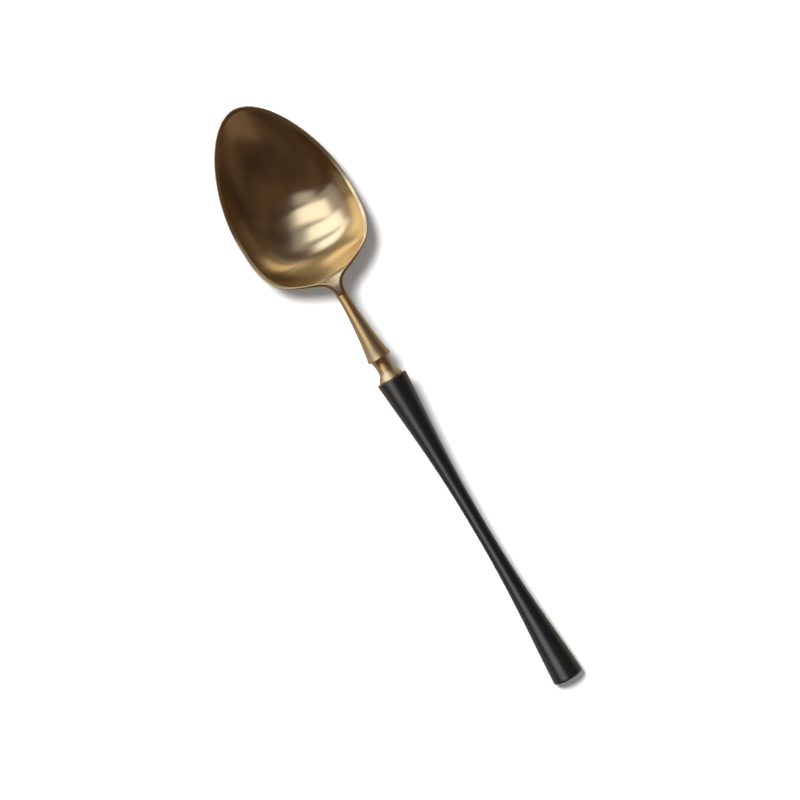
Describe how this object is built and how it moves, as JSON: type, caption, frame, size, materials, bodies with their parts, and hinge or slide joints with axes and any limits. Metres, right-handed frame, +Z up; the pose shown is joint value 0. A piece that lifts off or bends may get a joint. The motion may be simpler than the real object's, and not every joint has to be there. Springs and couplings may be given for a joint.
{
  "type": "tablespoon",
  "caption": "Tablespoon with an egg-shaped satin gold bowl, a turned neck with bead and cove, and a slim black hourglass handle.",
  "frame": {"origin": "on the table, under the middle of the spoon's length and width, as the spoon lies at rest with its bowl up", "axes": "+X along the spoon to the bowl's tip, +Y across it, +Z up out of the bowl"},
  "size_m": [0.2104, 0.0412, 0.0207],
  "materials": {
    "satin_gold": "stainless steel with a satin gold vapour coating",
    "satin_black": "stainless steel with a satin black baked coating",
    "plain_steel": "uncoated turned stainless steel"
  },
  "bodies": {
    "root": {"bowl": "satin_gold", "neck": "satin_gold", "stud": "plain_steel", "handle": "satin_black"}
  },
  "joints": []
}
